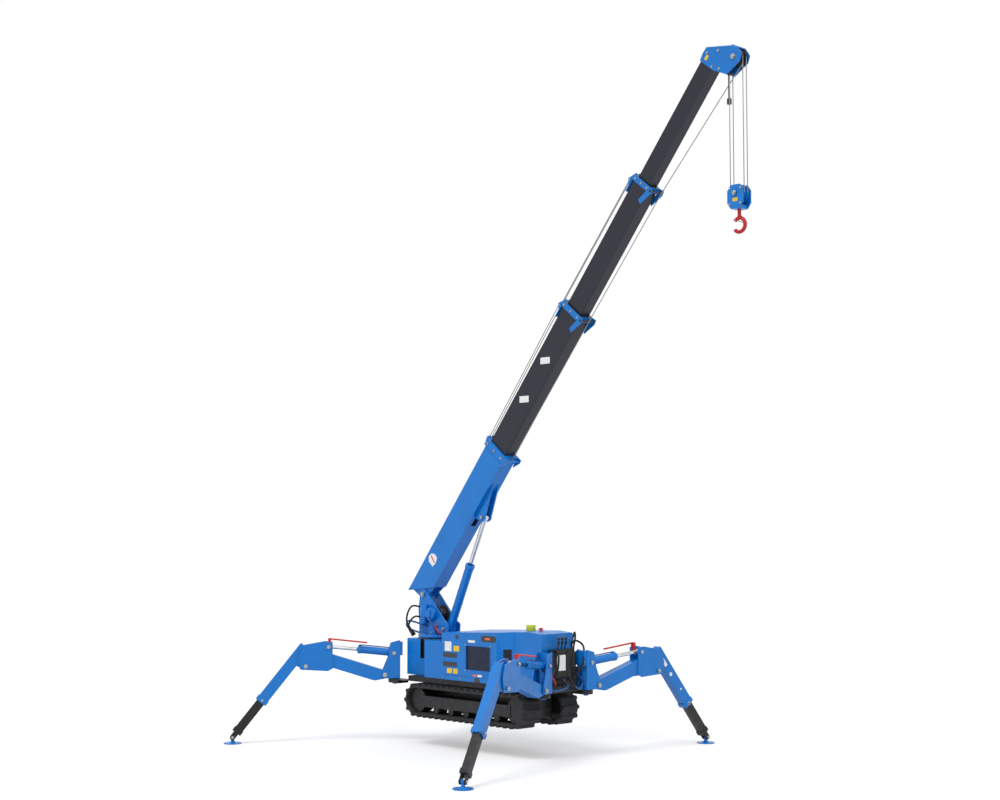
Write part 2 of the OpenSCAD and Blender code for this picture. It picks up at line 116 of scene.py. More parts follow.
class Shape:
    """One mesh of several forms, drawn in the millimetres of a local frame."""

    def __init__(self, place=MACHINE):
        self.place = place
        self.points = []
        self.faces = []

    def add(self, points, faces):
        first = len(self.points)
        self.points += [Vector(p) for p in points]
        self.faces += [tuple(first + i for i in face) for face in faces]
        return self

    def box(self, x0, x1, y0, y1, z0, z1):
        corners = [(x, y, z) for x in (x0, x1) for y in (y0, y1) for z in (z0, z1)]
        return self.add(corners, [(0, 1, 3, 2), (4, 6, 7, 5), (0, 4, 5, 1), (2, 3, 7, 6), (0, 2, 6, 4), (1, 5, 7, 3)])

    def extrude(self, outline, shift):
        """Closed outline of 3-D points drawn along a vector."""
        count = len(outline)
        base = [Vector(p) for p in outline]
        faces = [tuple(range(count)), tuple(range(2 * count - 1, count - 1, -1))]
        faces += [(i, count + i, count + (i + 1) % count, (i + 1) % count) for i in range(count)]
        return self.add(base + [p + Vector(shift) for p in base], faces)

    def plate(self, outline, y0, y1):
        """Plate in the XZ plane, from y0 to y1."""
        return self.extrude([(x, y0, z) for x, z in outline], (0, y1 - y0, 0))

    def slab(self, outline, z0, z1):
        """Plate in the XY plane, from z0 to z1."""
        return self.extrude([(x, y, z0) for x, y in outline], (0, 0, z1 - z0))

    def turned(self, profile, start, axis, sides=24):
        """Turned form: profile of (distance along the axis, radius)."""
        axis = Vector(axis).normalized()
        u, v = across(axis)
        points, faces = [], []
        for along, radius in profile:
            for k in range(sides):
                a = 2 * math.pi * k / sides
                points.append(Vector(start) + axis * along + (u * math.cos(a) + v * math.sin(a)) * radius)
        for row in range(len(profile) - 1):
            for k in range(sides):
                n = (k + 1) % sides
                faces.append((row * sides + k, row * sides + n, (row + 1) * sides + n, (row + 1) * sides + k))
        faces.append(tuple(range(sides - 1, -1, -1)))
        faces.append(tuple((len(profile) - 1) * sides + k for k in range(sides)))
        return self.add(points, faces)

    def rod(self, a, b, radius, sides=24):
        span = Vector(b) - Vector(a)
        chamfer = min(radius * 0.12, span.length * 0.2)
        profile = [(0, radius - chamfer), (chamfer, radius), (span.length - chamfer, radius),
                   (span.length, radius - chamfer)]
        return self.turned(profile, a, span, sides)

    def hose(self, path, radius, sides=10, smooth=4):
        """Round hose through the points, rounded between them."""
        line = rounded(path, smooth)
        points, faces = [], []
        u, v = across((line[1] - line[0]).normalized())
        for i, p in enumerate(line):
            ahead = (line[min(i + 1, len(line) - 1)] - line[max(i - 1, 0)]).normalized()
            u = (u - ahead * u.dot(ahead)).normalized()
            v = ahead.cross(u)
            for k in range(sides):
                a = 2 * math.pi * k / sides
                points.append(p + (u * math.cos(a) + v * math.sin(a)) * radius)
        for row in range(len(line) - 1):
            for k in range(sides):
                n = (k + 1) % sides
                faces.append((row * sides + k, row * sides + n, (row + 1) * sides + n, (row + 1) * sides + k))
        faces.append(tuple(range(sides - 1, -1, -1)))
        faces.append(tuple((len(line) - 1) * sides + k for k in range(sides)))
        return self.add(points, faces)

    def ring(self, centre, axis, radius, wire, turns=32, sides=10, start=0, sweep=360):
        """Round bar bent to an arc about an axis."""
        axis = Vector(axis).normalized()
        u, v = across(axis)
        count = turns if sweep == 360 else turns + 1
        points, faces = [], []
        for i in range(count):
            a = math.radians(start + sweep * i / turns)
            out = u * math.cos(a) + v * math.sin(a)
            for k in range(sides):
                b = 2 * math.pi * k / sides
                points.append(Vector(centre) + out * (radius + wire * math.cos(b)) + axis * wire * math.sin(b))
        rows = turns if sweep == 360 else turns
        for i in range(rows):
            j = (i + 1) % count
            for k in range(sides):
                n = (k + 1) % sides
                faces.append((i * sides + k, j * sides + k, j * sides + n, i * sides + n))
        if sweep != 360:
            faces.append(tuple(range(sides)))
            faces.append(tuple((count - 1) * sides + k for k in range(sides - 1, -1, -1)))
        return self.add(points, faces)

    def ball(self, centre, radius, sides=16):
        profile = [(radius * (1 - math.cos(math.pi * i / 8)), radius * math.sin(math.pi * i / 8)) for i in range(1, 8)]
        return self.turned(profile, Vector(centre) - Vector((0, 0, radius)), (0, 0, 1), sides)

    def bolt(self, at, axis, size=8):
        """Hexagon head on a washer, standing on the face at this point."""
        axis = Vector(axis).normalized()
        self.turned([(0, size * 1.15), (size * 0.25, size * 1.15)], at, axis, 20)
        return self.turned([(size * 0.25, size * 0.9), (size * 0.8, size * 0.9), (size * 0.9, size * 0.75)], at, axis, 6)

    def piece(self, name, body, look, bevel=0.0, slot=None, sharp=35):
        """Makes the object, in metres, riding on its body."""
        mesh = bpy.data.meshes.new(name)
        mesh.from_pydata([self.place @ p for p in self.points], [], self.faces)
        mesh.validate()
        mesh.materials.append(look)
        thing = bpy.data.objects.new(name, mesh)
        bpy.context.scene.collection.objects.link(thing)
        outward(mesh)
        finish_edges(thing, bevel, sharp)
        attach(thing, body)
        return thing


def across(axis):
    """Two unit vectors square to the axis and each other."""
    axis = Vector(axis).normalized()
    helper = Vector((0, 0, 1)) if abs(axis.z) < 0.9 else Vector((1, 0, 0))
    u = axis.cross(helper).normalized()
    return u, axis.cross(u)


def rounded(path, steps):
    """Catmull-Rom line through the points."""
    pts = [Vector(p) for p in path]
    pts = [2 * pts[0] - pts[1]] + pts + [2 * pts[-1] - pts[-2]]
    line = []
    for a, b, c, d in zip(pts, pts[1:], pts[2:], pts[3:]):
        for k in range(steps):
            t = k / steps
            line.append(0.5 * (2 * b + (c - a) * t + (2 * a - 5 * b + 4 * c - d) * t * t
                               + (3 * b - a - 3 * c + d) * t ** 3))
    return line + [pts[-2]]


def outward(mesh):
    """Turns every shell's faces outward."""
    import bmesh
    work = bmesh.new()
    work.from_mesh(mesh)
    bmesh.ops.recalc_face_normals(work, faces=work.faces)
    work.to_mesh(mesh)
    work.free()


def finish_edges(thing, bevel, sharp=35):
    """Smooth shading between sharp edges, and a rounded edge of this width in millimetres."""
    thing.data.shade_smooth()
    thing.data.set_sharp_from_angle(angle=math.radians(sharp))
    if bevel:
        edge = thing.modifiers.new("edge", "BEVEL")
        edge.width = bevel / 1000
        edge.segments = 2
        edge.limit_method = "ANGLE"
        edge.angle_limit = math.radians(40)
        edge.harden_normals = True


# Materials

class Look:
    """Node material built round one Principled shader."""

    def __init__(self, name):
        self.material = bpy.data.materials.new(name)
        self.material.use_nodes = True
        self.tree = self.material.node_tree
        self.shader = self.tree.nodes["Principled BSDF"]
        self.place = self.tree.nodes.new("ShaderNodeTexCoord").outputs["Object"]

    def set(self, **values):
        for name, value in values.items():
            self.shader.inputs[name.replace("_", " ").title().replace("Ior", "IOR")].default_value = value
        return self

    def node(self, kind, inputs=(), **settings):
        made = self.tree.nodes.new(kind)
        for name, value in settings.items():
            setattr(made, name, value)
        for name, value in dict(inputs).items():
            socket = made.inputs[name]
            if hasattr(value, "is_output"):
                self.tree.links.new(value, socket)
            else:
                socket.default_value = value
        return made

    def noise(self, scale, detail=3.0, roughness=0.55, stretch=(1, 1, 1)):
        place = self.place
        if stretch != (1, 1, 1):
            place = self.node("ShaderNodeMapping", {"Vector": place, "Scale": stretch}).outputs["Vector"]
        made = self.node("ShaderNodeTexNoise", {"Vector": place, "Scale": scale, "Detail": detail,
                                                "Roughness": roughness})
        return made.outputs["Fac"]

    def ramp(self, value, low, high, start=0.0, end=1.0):
        made = self.node("ShaderNodeMapRange", {"Value": value, "From Min": low, "From Max": high, "To Min": start,
                                                "To Max": end})
        return made.outputs["Result"]

    def mix(self, factor, a, b, blend="MIX"):
        made = self.node("ShaderNodeMix", data_type="RGBA", blend_type=blend)
        for socket, value in ((0, factor), (6, a), (7, b)):
            if hasattr(value, "is_output"):
                self.tree.links.new(value, made.inputs[socket])
            else:
                made.inputs[socket].default_value = value
        return made.outputs[2]

    def maths(self, operation, a, b=0.0):
        made = self.node("ShaderNodeMath", operation=operation)
        for socket, value in enumerate((a, b)):
            if hasattr(value, "is_output"):
                self.tree.links.new(value, made.inputs[socket])
            else:
                made.inputs[socket].default_value = value
        return made.outputs[0]

    def highlight_edges(self, radius=0.003):
        """Nearly 1 along convex and concave edges, 0 on flat faces: the mask of the painted edge highlight."""
        bevel = self.node("ShaderNodeBevel", {"Radius": radius}, samples=4)
        normal = self.node("ShaderNodeNewGeometry").outputs["Normal"]
        dot = self.node("ShaderNodeVectorMath", {0: bevel.outputs["Normal"], 1: normal}, operation="DOT_PRODUCT")
        return self.ramp(dot.outputs["Value"], 0.99, 0.86)

    def height(self):
        return self.node("ShaderNodeSeparateXYZ", {"Vector": self.place}).outputs["Z"]

    def join(self, socket, value):
        self.tree.links.new(value, self.shader.inputs[socket])
        return self

    def bump(self, value, depth, distance=0.001):
        made = self.node("ShaderNodeBump", {"Height": value, "Strength": depth, "Distance": distance})
        return self.join("Normal", made.outputs["Normal"])


def shade(red, green, blue):
    """Linear colour of a colour seen on screen, 0 to 255."""
    parts = [c / 255 for c in (red, green, blue)]
    return (*[c / 12.92 if c <= 0.04045 else ((c + 0.055) / 1.055) ** 2.4 for c in parts], 1)


def paint(name, colour, roughness=0.33, coat=0.25, dust=0.25, edge=0.2, metal=0.0):
    """Sprayed enamel: slight colour drift, orange peel, dusty low parts and a painted highlight along the edges."""
    look = Look(name).set(metallic=metal, coat_weight=coat * 0.5, coat_roughness=0.2, specular_ior_level=0.32)
    drift = look.mix(look.ramp(look.noise(5, 4), 0.35, 0.65), tint(colour, 0.93), tint(colour, 1.05))
    low = look.ramp(look.height(), 1.1, 0.05)
    dusty = look.maths("MULTIPLY", low, look.ramp(look.noise(26, 6, 0.7), 0.52, 0.8))
    dusty = look.maths("MULTIPLY", dusty, dust)
    colour_now = look.mix(dusty, drift, shade(128, 122, 112))
    # Painted highlight: the colour is lightened along convex and concave edges, in noise patches, by the edge amount.
    edge_highlight = look.maths("MULTIPLY", look.highlight_edges(), look.ramp(look.noise(60, 5), 0.45, 0.7))
    edge_highlight = look.maths("MULTIPLY", edge_highlight, edge)
    look.join("Base Color", look.mix(edge_highlight, colour_now, tint(colour, 1.6, 0.12)))
    look.join("Roughness", look.ramp(look.noise(14, 5), 0.3, 0.7, roughness - 0.05, roughness + 0.09))
    look.bump(look.noise(420, 2), 0.12, 0.0006)
    return look.material


def tint(colour, factor, lift=0.0):
    """The colour made lighter or darker."""
    return (*[min(1.0, c * factor + lift) for c in colour[:3]], 1)


def rubber(name, colour):
    look = Look(name).set(specular_ior_level=0.35)
    chalk = look.ramp(look.noise(9, 5), 0.4, 0.75)
    look.join("Base Color", look.mix(chalk, colour, tint(colour, 1.6, 0.004)))
    look.join("Roughness", look.ramp(look.noise(35, 4), 0.3, 0.7, 0.62, 0.86))
    look.bump(look.noise(300, 4), 0.35, 0.0012)
    return look.material


def bare_metal(name, colour, roughness, stretch=(1, 1, 1), grain=160.0, metal=1.0):
    """Turned, drawn or cast metal with a fine grain."""
    look = Look(name).set(metallic=metal)
    stain = look.ramp(look.noise(18, 4), 0.35, 0.7)
    look.join("Base Color", look.mix(stain, colour, tint(colour, 0.8)))
    look.join("Roughness", look.ramp(look.noise(grain, 3, 0.5, stretch), 0.3, 0.7, roughness * 0.75, roughness * 1.3))
    look.bump(look.noise(grain * 2, 2, 0.5, stretch), 0.08, 0.0004)
    return look.material


def plastic(name, colour, roughness=0.3, coat=0.0):
    look = Look(name).set(coat_weight=coat)
    look.join("Base Color", look.mix(look.noise(40, 3), tint(colour, 0.94), tint(colour, 1.05)))
    look.join("Roughness", look.ramp(look.noise(90, 3), 0.3, 0.7, roughness - 0.04, roughness + 0.08))
    look.bump(look.noise(700, 2), 0.06, 0.0003)
    return look.material


BLUE = shade(2, 118, 204)
LOOKS = {
    "blue_paint": paint("blue_paint", BLUE),
    "black_paint": paint("black_paint", shade(24, 25, 28), 0.42, 0.1, 0.35, 0.25),
    "track_rubber": rubber("track_rubber", shade(34, 35, 37)),
    "navy_paint": paint("navy_paint", shade(22, 26, 42), 0.3, 0.3, 0.1, 0.2),
    "rod_chrome": bare_metal("rod_chrome", shade(214, 216, 219), 0.14),
    "rope_steel": bare_metal("rope_steel", shade(150, 151, 154), 0.38),
    "dark_iron": bare_metal("dark_iron", shade(58, 60, 64), 0.5, metal=0.6),
    "hook_red": paint("hook_red", shade(186, 22, 34), 0.3, 0.3, 0.1, 0.3),
    "beacon_yellow": plastic("beacon_yellow", shade(196, 206, 30), 0.2, 0.5),
    "knob_black": plastic("knob_black", shade(20, 20, 22), 0.25, 0.3),
    "zinc": bare_metal("zinc", shade(176, 178, 176), 0.34, grain=220),
    "white_vinyl": plastic("white_vinyl", shade(236, 237, 236), 0.32),
    "yellow_vinyl": plastic("yellow_vinyl", shade(240, 196, 28), 0.32),
    "orange_vinyl": plastic("orange_vinyl", shade(228, 110, 30), 0.32),
    "red_vinyl": plastic("red_vinyl", shade(200, 30, 36), 0.32),
    "hose_black": rubber("hose_black", shade(26, 26, 28)),
    "hose_blue": plastic("hose_blue", shade(28, 84, 150), 0.38),
    "hose_red": plastic("hose_red", shade(176, 40, 40), 0.4),
    "grille_dark": paint("grille_dark", shade(30, 52, 92), 0.4, 0.1, 0.1, 0.2),
}


# Stage, light and camera

def stage():
    """White floor that keeps the shadow, white world behind it, soft light from the upper left."""
    size = 60
    mesh = bpy.data.meshes.new("floor")
    mesh.from_pydata([(-size, -size, 0), (size, -size, 0), (size, size, 0), (-size, size, 0)], [], [(0, 1, 2, 3)])
    floor = bpy.data.objects.new("floor", mesh)
    bpy.context.scene.collection.objects.link(floor)
    look = Look("floor_white")
    nodes, links = look.tree.nodes, look.tree.links
    nodes.remove(look.shader)
    matte = look.node("ShaderNodeBsdfDiffuse", {"Color": (0.72, 0.72, 0.73, 1)})
    rays = look.node("ShaderNodeLightPath")
    seen = look.maths("MAXIMUM", rays.outputs["Is Camera Ray"], rays.outputs["Is Glossy Ray"])
    glow = look.node("ShaderNodeEmission", {"Color": (1, 1, 1, 1), "Strength": look.maths("MULTIPLY", seen, 0.34)})
    both = look.node("ShaderNodeAddShader")
    links.new(matte.outputs[0], both.inputs[0])
    links.new(glow.outputs[0], both.inputs[1])
    links.new(both.outputs[0], nodes["Material Output"].inputs["Surface"])
    mesh.materials.append(look.material)

    world = bpy.data.worlds.new("studio")
    bpy.context.scene.world = world
    world.use_nodes = True
    tree = world.node_tree
    ground = tree.nodes["Background"]
    paths = tree.nodes.new("ShaderNodeLightPath")
    bright = tree.nodes.new("ShaderNodeMath")
    bright.operation = "MAXIMUM"
    tree.links.new(paths.outputs["Is Camera Ray"], bright.inputs[0])
    tree.links.new(paths.outputs["Is Glossy Ray"], bright.inputs[1])
    level = tree.nodes.new("ShaderNodeMapRange")
    level.inputs["To Min"].default_value = 0.62
    level.inputs["To Max"].default_value = 1.0
    tree.links.new(bright.outputs[0], level.inputs["Value"])
    tree.links.new(level.outputs["Result"], ground.inputs["Strength"])
    ground.inputs["Color"].default_value = (1, 1, 1, 1)

    for name, toward, strength, spread in (("key", (0.1, -0.62, 0.9), 1.3, 24), ("fill", (0.9, -0.25, 0.5), 0.5, 40)):
        lamp = bpy.data.lights.new(name, "SUN")
        lamp.energy = strength
        lamp.angle = math.radians(spread)
        sun = bpy.data.objects.new(name, lamp)
        sun.rotation_euler = Vector(toward).to_track_quat("Z", "Y").to_euler()
        bpy.context.scene.collection.objects.link(sun)


def camera():
    """The photograph's camera: level horizon, no shift, focal length from its pixels."""
    turn, pitch = math.radians(CAMERA_TURN), math.radians(CAMERA_PITCH)
    ahead = Vector((-math.sin(turn) * math.cos(pitch), math.cos(turn) * math.cos(pitch), math.sin(pitch)))
    lens = bpy.data.cameras.new("camera")
    lens.sensor_width = 36
    lens.lens = FOCAL_PIXELS / PHOTO_WIDTH * 36
    eye = bpy.data.objects.new("camera", lens)
    eye.location = CAMERA_AT
    eye.rotation_euler = (-ahead).to_track_quat("Z", "Y").to_euler()
    bpy.context.scene.collection.objects.link(eye)
    bpy.context.scene.camera = eye
    bpy.context.scene.view_settings.view_transform = "Standard"


# Model nodes: finish and edges

def dress_nodes():
    """Gives every CAD node its material by its packed one, and rounded edges."""
    for name, node in NODES.items():
        for slot in node.material_slots:
            base = slot.material.name.split(".")[0] if slot.material else ""
            if base in LOOKS:
                slot.material = LOOKS[base]
        weld = node.modifiers.new("weld", "WELD")
        weld.merge_threshold = 0.00002
        finish = node.modifiers.new("edge", "BEVEL")
        finish.width = 0.0025
        finish.segments = 2
        finish.limit_method = "ANGLE"
        finish.angle_limit = math.radians(40)
        finish.harden_normals = True


# Outlines

def round_rect(x, z, width, height, corner=6):
    """Rectangle with round corners about its centre."""
    outline = []
    for sx, sz, start in ((1, 1, 0), (-1, 1, 90), (-1, -1, 180), (1, -1, 270)):
        for step in range(4):
            a = math.radians(start + 30 * step)
            outline.append((x + sx * (width / 2 - corner) + corner * math.cos(a),
                            z + sz * (height / 2 - corner) + corner * math.sin(a)))
    return outline


def disc(x, z, radius, sides=24):
    return [(x + radius * math.cos(2 * math.pi * k / sides), z + radius * math.sin(2 * math.pi * k / sides))
            for k in range(sides)]


def tilted(t, h, along, across_it):
    """Rectangle on the boom's side that lies level as the boom stands."""
    a = math.radians(BOOM_ANGLE)
    level, up = (math.cos(a), -math.sin(a)), (math.sin(a), math.cos(a))
    return [(t + i * along / 2 * level[0] + j * across_it / 2 * up[0], h + i * along / 2 * level[1]
             + j * across_it / 2 * up[1]) for i, j in ((-1, -1), (1, -1), (1, 1), (-1, 1))]


def grown(outline, factor, about):
    return [(about[0] + (x - about[0]) * factor, about[1] + (z - about[1]) * factor) for x, z in outline]


# Boom trim

def sleeve(shape, t0, t1, width, depth, wall):
    """Collar around a section, clear of the section inside it."""
    y, low, high = width / 2, BOOM_H - depth / 2, BOOM_H + depth / 2
    for side in (-1, 1):
        shape.box(t0, t1, side * y, side * (y + wall), low - wall, high + wall)
    shape.box(t0, t1, -y, y, low - wall, low)
    shape.box(t0, t1, -y, y, high, high + wall)
    return shape


def collar(body, end, width, depth, length, radius):
    """Blue end collar with the rope bracket over it and the lug under it."""
    top, bottom = BOOM_H + depth / 2, BOOM_H - depth / 2
    trim = sleeve(Shape(BOOM), end - length - 2, end + 1, width, depth, 2)
    axle = (end - 70, top + radius + 26)
    cheek = [(end - 150, top), (end, top), (end + 2, top + 30), (axle[0] + radius, axle[1] + 12),
             (axle[0], axle[1] + radius + 6), (axle[0] - radius, axle[1] + 12)]
    fin = [(end - 130, bottom + 40), (end, bottom - 2), (end + 4, bottom - 34), (end - 34, bottom - 40),
           (end - 150, bottom + 6)]
    for side in (-1, 1):
        trim.plate(cheek, side * 15, side * 23)
        trim.plate(fin, side * (width / 2 + 2), side * (width / 2 + 8))
    trim.box(end - 150, end - length, -width / 2 - 2, width / 2 + 2, top, top + 6)
    trim.piece(f"collar_trim_{body}", body, LOOKS["blue_paint"], 2)
    wheel = Shape(BOOM).turned([(0, radius), (4, radius), (9, radius - 8), (14, radius), (18, radius)],
                               (axle[0], -9, axle[1]), (0, 1, 0), 32)
    wheel.rod((axle[0], -30, axle[1]), (axle[0], 30, axle[1]), 8)
    wheel.rod((end - 20, -width / 2 - 14, bottom - 22), (end - 20, width / 2 + 14, bottom - 22), 9)
    wheel.piece(f"rope_wheel_{body}", body, LOOKS["dark_iron"], 0.6)
    bolts = Shape(BOOM)
    for side in (-1, 1):
        for t, h in ((end - length / 2, top - 24), (end - length / 2, bottom + 24), (end - length / 2, BOOM_H)):
            bolts.bolt((t, side * (width / 2 + 2), h), (0, side, 0), 8)
        bolts.bolt((axle[0], side * 30, axle[1]), (0, side, 0), 9)
    bolts.piece(f"collar_bolts_{body}", body, LOOKS["zinc"])
    return axle[0], axle[1] + radius


def boom_trim():
    high_2 = collar("boom_2", REACH_2, 139, 228, 45, 26)
    high_3 = collar("boom_3", REACH_3, 118, 192, 42, 22)
    ropes = (("boom_2", (BASE_LENGTH - 30, 236), high_2, (-12, 12)),
             ("boom_3", (REACH_2 - 60, high_2[1] - 14), high_3, (-6, 6)))
    for body, a, b, places in ropes:
        rope = Shape(BOOM)
        for y in places:
            rope.hose([(a[0], y, a[1]), ((a[0] + b[0]) / 2, y, (a[1] + b[1]) / 2), (b[0], y, b[1])], 3.2, 8, 2)
        rope.piece(f"span_ropes_{body}", body, LOOKS["rope_steel"])
    under = (("boom_2", BASE_LENGTH - 20, REACH_2, -84, -94), ("boom_3", REACH_2, REACH_3, -94, -112),
             ("boom_4", REACH_3, REACH_HEAD - 12, -112, -190))
    for body, start, end, h0, h1 in under:
        line = Shape(BOOM).hose([(start, 0, h0), ((start + end) / 2, 0, (h0 + h1) / 2), (end, 0, h1)], 3.5, 8, 2)
        line.piece(f"hoist_rope_{body}", body, LOOKS["rope_steel"])
    base = Shape(BOOM)
    for side in (-1, 1):
        base.plate([(1380, 190), (1500, 190), (1500, 232), (1474, 252), (1440, 246)], side * 17, side * 25)
        base.plate([(1440, -60), (1500, -70), (1502, -104), (1470, -108), (1400, -66)], side * 70, side * 80)
    base.rod((1474, -30, 232), (1474, 30, 232), 10).rod((1480, -84, -92), (1480, 84, -92), 8)
    base.box(300, 1380, -30, 30, 178, 184).box(560, 1200, -22, 22, 184, 194)
    base.piece("base_trim", "boom_base", LOOKS["blue_paint"], 2)
    bolts = Shape(BOOM)
    for side in (-1, 1):
        for t, h in ((1470, 160), (1470, 60), (1470, -40)):
            bolts.bolt((t, side * 81, h), (0, side, 0), 10)
        bolts.bolt((0, side * 57, 0), (0, side, 0), 20).bolt((934, side * 45, -129), (0, side, 0), 13)
    bolts.piece("base_bolts", "boom_base", LOOKS["zinc"])
    fan = [(252, 60), (300, 48), (345, 62), (352, 104), (330, 140), (286, 152), (256, 124)]
    Shape(BOOM).plate(fan, -70.2, -68.8).piece("angle_plate", "boom_base", LOOKS["white_vinyl"], 0.3)
    arrow = [(292, 66), (298, 66), (318, 128), (306, 132)]
    Shape(BOOM).plate(arrow, -71.4, -70).plate(disc(295, 66, 6), -71.4, -70).piece(
        "angle_pointer", "boom_base", LOOKS["red_vinyl"])
    marks = Shape(BOOM)
    for t in (2361, 1985):
        marks.plate(tilted(t, 60, 104, 52), -60.8, -59.2)
    marks.piece("section_plates", "boom_2", LOOKS["white_vinyl"], 0.3)


def head_trim():
    outline = [(-165, 256), (-110, 266), (-60, 262), (52, 70), (68, 0), (52, -50), (0, -68), (-50, -50), (-130, -22),
               (-165, 110)]
    head = Shape(local_frame(joint_at("falls_plumb"), -joint_axis("boom_retract")))
    outer = grown(outline, 1.02, (-50, 100))
    for side in (-1, 1):
        head.plate(outer, side * 41.4, side * 51.4)
    head.plate([(-166, 252), (-110, 262), (-60, 258), (-56, 265), (-110, 270), (-166, 259)], -42, 42)
    head.box(-162, -122, -47, 47, 109, 261)
    head.plate([(54, 74), (62, 76), (78, 4), (70, 0)], -42, 42)
    head.piece("head_trim", "boom_4", LOOKS["blue_paint"], 2)
    bolts = Shape(head.place)
    for side in (-1, 1):
        for t, h, size in ((0, 0, 18), (-90, 230, 10), (-30, 150, 9), (-130, 60, 9), (-150, 130, 8)):
            bolts.bolt((t, side * 51.4, h), (0, side, 0), size)
    bolts.piece("head_bolts", "boom_4", LOOKS["zinc"])
    label = Shape(head.place).plate(round_rect(-120, 215, 40, 26), -52.6, -51.2)
    label.piece("head_label", "boom_4", LOOKS["yellow_vinyl"], 0.3)


def hook_trim():
    drop = -HOOK_DROP - 70
    block = Shape(HEAD)
    for side in (-1, 1):
        block.bolt((0, side * 55, drop), (0, side, 0), 16)
        for x, z in ((-48, 32), (48, 32), (-48, -78), (48, -78)):
            block.bolt((x, side * 48, drop + z), (0, side, 0), 8)
    block.piece("block_bolts", "hook_block", LOOKS["zinc"])
    plate = Shape(HEAD).plate(round_rect(0, drop - 48, 44, 26), -49.4, -47.8)
    plate.piece("block_label", "hook_block", LOOKS["yellow_vinyl"], 0.3)
    latch = Shape(HEAD).plate([(-30, drop - 190), (-22, drop - 186), (34, drop - 208), (30, drop - 214)], -6, 6)
    latch.rod((-27, -16, drop - 188), (-27, 16, drop - 188), 5)
    latch.piece("hook_latch", "hook", LOOKS["zinc"], 0.8)


# Carrier trim

def hood_trim():
    frames, bars, dark, labels = Shape(), Shape(), Shape(), {}
    for side in (-1, 1):
        face = side * HALF_BODY
        for x in range(0, 19):
            bars.box(50 + 15.2 * x, 53 + 15.2 * x, face - side * 8, face - side * 5, 655, 842)
        for z in range(0, 12):
            bars.box(45, 326, face - side * 6, face - side * 3, 664 + 15.2 * z, 667 + 15.2 * z)
        dark.plate(round_rect(185, 748, 300, 204, 8), face - side * 16, face - side * 12)
        for z0, z1 in ((642, 652), (845, 855)):
            frames.box(35, 336, face, face + side * 3, z0, z1)
        for x0, x1 in ((33, 43), (328, 338)):
            frames.box(x0, x1, face, face + side * 3, 642, 855)
        for z in (758, 686):
            dark.plate(round_rect(-148, z, 170, 36, 16), face, face + side * 2)
            frames.plate(round_rect(-148, z + 24, 190, 7, 3), face, face + side * 5)
        dark.plate(disc(-63, 906, 18), face, face + side * 2)
        dark.plate(round_rect(308, 908, 172, 48, 22), face, face + side * 2)
        dark.plate([(141, 562), (209, 562), (205, 582), (190, 596), (160, 596), (145, 582)], face, face + side * 2)
        frames.box(-240, 390, face, face + side * 4, 600, 606)
    frames.piece("hood_frames", "carrier", LOOKS["blue_paint"], 1)
    bars.piece("hood_grilles", "carrier", LOOKS["grille_dark"])
    corner = Vector((98, -90)).normalized() * 2
    for side in (-1, 1):
        a, b = (412, side * 256), (480, side * 184)
        shift = (corner.x, -side * corner.y * -1, 0)
        dark.extrude([(a[0], a[1], 722), (b[0], b[1], 722), (b[0], b[1], 832), (a[0], a[1], 832)], shift)
    dark.piece("hood_openings", "carrier", LOOKS["knob_black"], 0.5)
    bolts = Shape()
    for side in (-1, 1):
        for x, z in ((38, 647), (333, 647), (38, 850), (333, 850), (-225, 580), (-20, 580), (380, 580), (-225, 860)):
            bolts.bolt((x, side * (HALF_BODY + 2), z), (0, side, 0), 6)
    for x in (560, 640, 720, 780):
        for side in (-1, 1):
            bolts.bolt((x, side * 172, 600), (0, side, 0), 7)
    bolts.piece("hood_bolts", "carrier", LOOKS["zinc"])
    places = (("white_vinyl", -168, 828, 80, 76), ("yellow_vinyl", -67, 814, 66, 44), ("white_vinyl", 112, 880, 80, 20),
              ("yellow_vinyl", -150, 634, 60, 40), ("yellow_vinyl", -78, 634, 50, 40), ("orange_vinyl", 150, 612, 44, 20),
              ("white_vinyl", 208, 612, 50, 20), ("orange_vinyl", 300, 908, 56, 16))
    for look, x, z, width, height in places:
        labels.setdefault(look, Shape()).plate(round_rect(x, z, width, height, 4), -HALF_BODY - 3.4, -HALF_BODY - 0.2)
    for look, shape in labels.items():
        shape.piece(f"hood_labels_{look}", "carrier", LOOKS[look], 0.3)
    button = Shape().turned([(0, 20), (8, 20), (8, 8), (16, 8), (16, 18), (24, 18), (28, 12)], (622, 0, 971), (0, 0, 1), 24)
    button.piece("stop_button", "carrier", LOOKS["red_vinyl"], 0.4)


